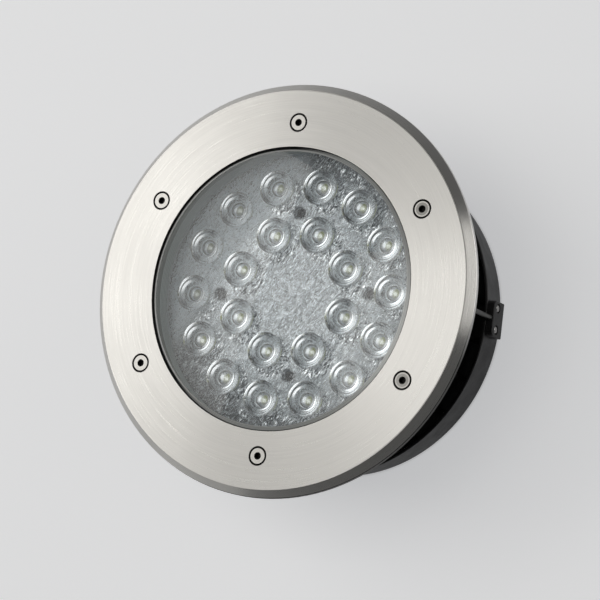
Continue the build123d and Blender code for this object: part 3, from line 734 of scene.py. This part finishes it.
def close_with_fan(mesh, ring, middle, outward=True):
    """Closes a ring of vertices with a fan about a middle point."""
    tip = mesh.verts.new(middle)
    for step, vert in enumerate(ring):
        corner = ring[(step + 1) % len(ring)]
        mesh.faces.new((vert, corner, tip) if outward else (corner, vert, tip))


def finish_mesh(name, mesh, angle):
    """Welds the mesh, smooths what turns by less than an angle and returns its data."""
    bmesh.ops.remove_doubles(mesh, verts=mesh.verts, dist=WELD)
    data = bpy.data.meshes.new(name)
    mesh.to_mesh(data)
    mesh.free()
    data.shade_smooth()
    data.set_sharp_from_angle(angle=angle)
    return data


def store_mask(data, name, strength):
    """Stores a value from 0 to 1 at each point, from the point and its nearest lens centre."""
    centres = [Vector((*centre, 0)) for centre in lens_centres()]
    mask = data.attributes.new(name, "FLOAT", "POINT")
    for index, vert in enumerate(data.vertices):
        level = Vector((vert.co.x, vert.co.y, 0))
        nearest = min(centres, key=lambda centre: (centre - level).length)
        mask.data[index].value = float(strength(vert.co, nearest))


def clamped(value):
    """The value, held between 0 and 1."""
    return min(1.0, max(0.0, value))


def arc_strength(offset, middle, half_width):
    """1 in the middle of an arc about a lens, falling to 0 at its ends."""
    azimuth = math.degrees(math.atan2(offset.y, offset.x))
    turn = abs((azimuth - middle + 180) % 360 - 180)
    return clamped(ARC_STEEPNESS * (1 - turn / half_width))


def lens_offset(point, centre):
    """Where a point lies from the middle of its lens, in millimetres, or None on the plate."""
    if point.z < plate_top + LENS_FOOT:
        return None
    return Vector((point.x - centre.x, point.y - centre.y)) / MM


def mirrored_wall(point, centre):
    """How strongly a painted reflection marks a lens wall at a point."""
    offset = lens_offset(point, centre)
    if offset is None:
        return 0.0
    strengths = [0.0]
    if MIRRORED_WALL[0] < offset.length < MIRRORED_WALL[1]:
        strengths.append(arc_strength(offset, *MIRRORED_ARC))
    for radius, strength in CRESCENTS.items():
        if abs(offset.length - radius) < SAME_RADIUS:
            strengths.append(lens_glow(centre) * strength * arc_strength(offset, *CRESCENT_ARC))
    return max(strengths)


def lens_glow(centre):
    """How strong the painted light on a lens is: less on the side in the ring's shadow."""
    side = math.radians(RING_SHADOW_SIDE)
    reach = centre.x * math.cos(side) + centre.y * math.sin(side)
    return 1 - DIM_LOSS * clamped((reach - DIM_START) / DIM_SPAN)


def lens_disc(point, centre):
    """How strong the painted highlight on the bottom of a lens is, over the light source."""
    offset = lens_offset(point, centre)
    if offset is None or offset.length > DISC_R:
        return 0.0
    return lens_glow(centre)


def dark_wall(point, centre):
    """How dark the painted shade on a lens wall is at a point."""
    offset = lens_offset(point, centre)
    if offset is None or not DARK_WALL[0] < offset.length < DARK_WALL[1]:
        return 0.0
    return max(arc_strength(offset, *arc) for arc in DARK_ARCS)


def flat_level(point, _):
    """1 on the plate's top and underside."""
    return any(abs(point.z - level) < WELD for level in (plate_under, plate_top))


def add_lens(mesh, centre):
    """The stepped dish of one lens, from its root on the plate to its middle."""
    rings = skin(mesh, [circle(centre, radius * MM, lens_top - depth * MM, ROUND_STEPS)
                        for radius, depth in LENS_PROFILE])
    close_with_fan(mesh, rings[-1], (*centre, lens_top - LENS_MIDDLE_DEPTH * MM))


def add_pocket(mesh, centre):
    """The hollow under one lens, open at the plate's underside."""
    rings = skin(mesh, [circle(centre, radius * MM, plate_under + height * MM, ROUND_STEPS)
                        for radius, height in POCKET_PROFILE], outward=False)
    tip = (*centre, plate_under + POCKET_MIDDLE_HEIGHT * MM)
    close_with_fan(mesh, rings[-1], tip, outward=False)


def optic_moulding():
    """Clear moulding: pierced plate, lenses above it, pockets and a skirt below it."""
    mesh = bmesh.new()
    centres = lens_centres()
    outline = circle((0, 0), plate_r, 0, RIM_STEPS)
    inner_outline = circle((0, 0), plate_r - SKIRT_WIDTH, 0, RIM_STEPS)
    lens_roots = [circle(centre, LENS_PROFILE[0][0] * MM, 0, ROUND_STEPS) for centre in centres]
    pockets = [circle(centre, POCKET_PROFILE[0][0] * MM, 0, ROUND_STEPS) for centre in centres]
    pierced_face(mesh, outline, lens_roots, plate_top, upward=True)
    pierced_face(mesh, inner_outline, pockets, plate_under, upward=False)
    for centre in centres:
        add_lens(mesh, centre)
        add_pocket(mesh, centre)
    rim = [(plate_r - SKIRT_WIDTH, plate_under), (plate_r - SKIRT_WIDTH, plate_low),
           (plate_r, plate_low), (plate_r, plate_top)]
    skin(mesh, [circle((0, 0), radius, height, RIM_STEPS) for radius, height in rim])
    data = finish_mesh("optic_moulding", mesh, math.radians(35))
    store_mask(data, "pebbled", flat_level)
    store_mask(data, "mirrored", mirrored_wall)
    store_mask(data, "dark", dark_wall)
    store_mask(data, "disc", lens_disc)
    return new_piece("optic_moulding", data, LOOKS["clear_optic"], "clear_optic", "optic_plate")


def stepped_glass():
    """The glass with its raised middle, which fills the ring's aperture."""
    profile = [(glass_r - GLASS_EDGE_BREAK, glass_low), (glass_r, glass_low + GLASS_EDGE_BREAK),
               (glass_r, glass_top - GLASS_EDGE_BREAK), (glass_r - GLASS_EDGE_BREAK, glass_top),
               (STEP_R, glass_top), (STEP_R, step_top - STEP_CHAMFER_DROP),
               (STEP_R - STEP_CHAMFER, step_top)]
    mesh = bmesh.new()
    rings = skin(mesh, [circle((0, 0), radius, height, GLASS_STEPS) for radius, height in profile])
    mesh.faces.new(rings[-1])
    mesh.faces.new(list(reversed(rings[0])))
    data = finish_mesh("stepped_glass", mesh, math.radians(20))
    return new_piece("stepped_glass", data, LOOKS["cover_glass"], "cover_glass", "glass_lens")


def ground_edges():
    """The ground faces of the glass: its chamfer in the aperture and its outer edge."""
    near, far = GROUND_BAND
    foot = step_top - STEP_CHAMFER_DROP
    chamfer = [(STEP_R, foot + near), (STEP_R, foot + far),
               (STEP_R - STEP_CHAMFER, step_top + far), (STEP_R - STEP_CHAMFER, step_top + near)]
    low, high = glass_low + GLASS_EDGE_BREAK, glass_top - GLASS_EDGE_BREAK
    edge = [(glass_r + near, low), (glass_r + far, low), (glass_r + far, high), (glass_r + near, high)]
    mesh = bmesh.new()
    for section in (chamfer, edge):
        loops = [circle((0, 0), radius, height, GLASS_STEPS) for radius, height in [*section, section[0]]]
        skin(mesh, loops)
    data = finish_mesh("ground_edges", mesh, math.radians(20))
    return new_piece("ground_edges", data, ground_glass(), "cover_glass")


def core_strength(point, centre):
    """1 a little to one side of the chip, falling to 0 one dome radius away."""
    return 1 - (Vector((point.x, point.y, 0)) - centre - CORE_SHIFT).length / DOME_R


def light_domes():
    """The silicone dome over each light source."""
    mesh = bmesh.new()
    for centre in lens_centres():
        leans = [step / DOME_LEVELS * math.pi / 2 for step in range(DOME_LEVELS)]
        loops = [circle(centre, DOME_R * math.cos(lean), board_top + DOME_HEIGHT * math.sin(lean),
                        DOME_STEPS)
                 for lean in leans]
        rings = skin(mesh, loops)
        close_with_fan(mesh, rings[-1], (*centre, board_top + DOME_HEIGHT))
        close_with_fan(mesh, rings[0], (*centre, board_top), outward=False)
    data = finish_mesh("light_domes", mesh, math.radians(50))
    store_mask(data, "core", core_strength)
    return new_piece("light_domes", data, silicone_dome(), "clear_optic")


optic_moulding()
stepped_glass()
ground_edges()
light_domes()

# ---------------------------------------------------------------- studio

FLOOR_SIZE = 12.0
FLOOR_LIFT = 0.48           # brightness that only the camera and reflections see
FLOOR_LIFT_START = 88 * MM  # from here the lift grows from nothing
FLOOR_LIFT_END = SLEEVE_R - 2 * MM      # to its full strength just inside the sleeve's edge
FLOOR_MIRRORED = 0.5        # the share of it that reflections see
SKY_LEVEL = 0.06
LAMP_COLOUR = (1.0, 0.985, 0.955)
LAMP_DISTANCE = 1.7
LAMPS = {
    # name: (azimuth and elevation in degrees, width and height in metres, power in watts)
    "left_softbox": (75, 45, 1.2, 0.8, 4.65),
    "overhead": (0, 90, 0.9, 0.9, 3.5),
    "right_strip": (-73, 15, 1.3, 0.5, 3.05),
    "left_high": (90, 60, 0.9, 0.9, 1.1),
    "top_high": (45, 60, 0.9, 0.9, 0.75),
    "lower_left": (135, 12, 0.9, 0.9, 0.65),
}


def floor():
    """A plain pale floor that keeps the object's shadow, and is only lifted outside the sleeve."""
    mesh = bpy.data.meshes.new("floor")
    reach = FLOOR_SIZE / 2
    mesh.from_pydata([(-reach, -reach, 0), (reach, -reach, 0), (reach, reach, 0),
                      (-reach, reach, 0)], [], [(0, 1, 2, 3)])
    look = Look("pale_floor", (0.70, 0.70, 0.70), 0.8)
    path = look.add("ShaderNodeLightPath").outputs
    mirrored = look.math("MULTIPLY", path["Is Glossy Ray"], FLOOR_MIRRORED)
    seen = look.math("MAXIMUM", path["Is Camera Ray"], mirrored)
    open_floor = look.spread(look.radius(), 0, 1, FLOOR_LIFT_START, FLOOR_LIFT_END)
    look.put("Emission Color", (0.97, 0.98, 1.0, 1))
    look.put("Emission Strength", look.math("MULTIPLY", seen, open_floor, FLOOR_LIFT))
    mesh.materials.append(look.material)
    surface = bpy.data.objects.new("floor", mesh)
    bpy.context.scene.collection.objects.link(surface)


def lamp(name, azimuth, elevation, width, height, power):
    """A softbox that faces the ring."""
    light = bpy.data.lights.new(name, "AREA")
    light.shape = "RECTANGLE"
    light.size = width
    light.size_y = height
    light.energy = power
    light.color = LAMP_COLOUR
    holder = bpy.data.objects.new(name, light)
    bpy.context.scene.collection.objects.link(holder)
    around = math.radians(azimuth)
    level = math.cos(math.radians(elevation))
    towards = Vector((level * math.cos(around), level * math.sin(around),
                      math.sin(math.radians(elevation))))
    holder.location = AXIS * ring_face + towards * LAMP_DISTANCE
    holder.rotation_euler = towards.to_track_quat("Z", "Y").to_euler()


def sky():
    """Even grey light from every side."""
    world = bpy.data.worlds.new("studio")
    world.use_nodes = True
    background = world.node_tree.nodes["Background"]
    background.inputs["Color"].default_value = (1.0, 1.0, 1.0, 1)
    background.inputs["Strength"].default_value = SKY_LEVEL
    bpy.context.scene.world = world


# The camera, solved from the ring's edges and screws in the photograph
AIM = Vector((-6.28, -14.44, 96.37)) * MM
VIEW_AZIMUTH = math.radians(-16.854)
VIEW_ELEVATION = math.radians(61.943)
VIEW_ROLL = math.radians(-68.097)
VIEW_DISTANCE = 1.3279
FOCAL_LENGTH = 146.81       # in millimetres, as is the sensor
SENSOR_WIDTH = 36.0


def camera():
    """The camera at the photographed viewing angle, rolled as the object leans."""
    data = bpy.data.cameras.new("camera")
    data.sensor_width = SENSOR_WIDTH
    data.lens = FOCAL_LENGTH
    holder = bpy.data.objects.new("camera", data)
    bpy.context.scene.collection.objects.link(holder)
    level = Euler((math.pi / 2 - VIEW_ELEVATION, 0, VIEW_AZIMUTH)).to_matrix()
    turn = level @ Matrix.Rotation(VIEW_ROLL, 3, "Z")
    back = level @ AXIS
    holder.matrix_world = Matrix.Translation(AIM + back * VIEW_DISTANCE) @ turn.to_4x4()
    bpy.context.scene.camera = holder


floor()
for lamp_name, settings in LAMPS.items():
    lamp(lamp_name, *settings)
sky()
camera()
bpy.context.scene.view_settings.view_transform = "Standard"
